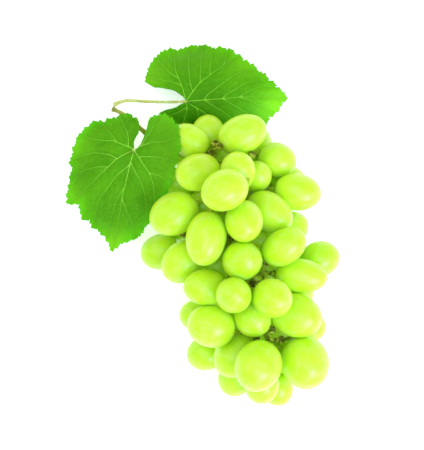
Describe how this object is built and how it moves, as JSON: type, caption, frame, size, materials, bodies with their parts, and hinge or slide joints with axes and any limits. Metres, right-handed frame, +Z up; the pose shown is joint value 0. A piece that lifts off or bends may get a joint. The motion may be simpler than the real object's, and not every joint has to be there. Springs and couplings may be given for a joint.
{
  "type": "bunch of grapes",
  "caption": "Bunch of plump white table grapes on a branching stalk, lying on its side with broad toothed vine leaves spread beside the stalk's cut end.",
  "frame": {"origin": "on the surface the bunch lies on, under the middle of its bounding box", "axes": "+Z up from the surface, +Y along the bunch from its tip towards the stalk's cut end and the upper leaf, +X across the bunch with the left leaf on the -X side"},
  "size_m": [0.1358, 0.183, 0.0702],
  "materials": {
    "berry_skin": "thin translucent skin with a soft gloss",
    "stalk": "rough green-brown bark",
    "leaf": "matt leaf with pale veins"
  },
  "bodies": {
    "root": {"berry_01": "berry_skin", "berry_02": "berry_skin", "berry_03": "berry_skin", "berry_04": "berry_skin", "berry_05": "berry_skin", "berry_06": "berry_skin", "berry_07": "berry_skin", "berry_08": "berry_skin", "berry_09": "berry_skin", "berry_10": "berry_skin", "berry_11": "berry_skin", "berry_12": "berry_skin", "berry_13": "berry_skin", "berry_14": "berry_skin", "berry_15": "berry_skin", "berry_16": "berry_skin", "berry_17": "berry_skin", "berry_18": "berry_skin", "berry_19": "berry_skin", "berry_20": "berry_skin", "berry_21": "berry_skin", "berry_22": "berry_skin", "berry_23": "berry_skin", "berry_24": "berry_skin", "berry_25": "berry_skin", "berry_26": "berry_skin", "berry_27": "berry_skin", "berry_28": "berry_skin", "berry_29": "berry_skin", "berry_30": "berry_skin", "berry_31": "berry_skin", "berry_32": "berry_skin", "berry_33": "berry_skin", "berry_34": "berry_skin", "berry_35": "berry_skin", "berry_36": "berry_skin", "berry_37": "berry_skin", "berry_38": "berry_skin", "berry_39": "berry_skin", "berry_40": "berry_skin", "berry_41": "berry_skin", "berry_42": "berry_skin", "berry_43": "berry_skin", "berry_44": "berry_skin", "berry_45": "berry_skin", "berry_46": "berry_skin", "berry_47": "berry_skin", "berry_48": "berry_skin", "berry_49": "berry_skin", "berry_50": "berry_skin", "berry_51": "berry_skin", "berry_52": "berry_skin", "berry_53": "berry_skin", "berry_54": "berry_skin", "berry_55": "berry_skin", "berry_56": "berry_skin", "berry_57": "berry_skin", "stalk": "stalk", "left_leaf": "leaf", "upper_leaf": "leaf"}
  },
  "joints": []
}
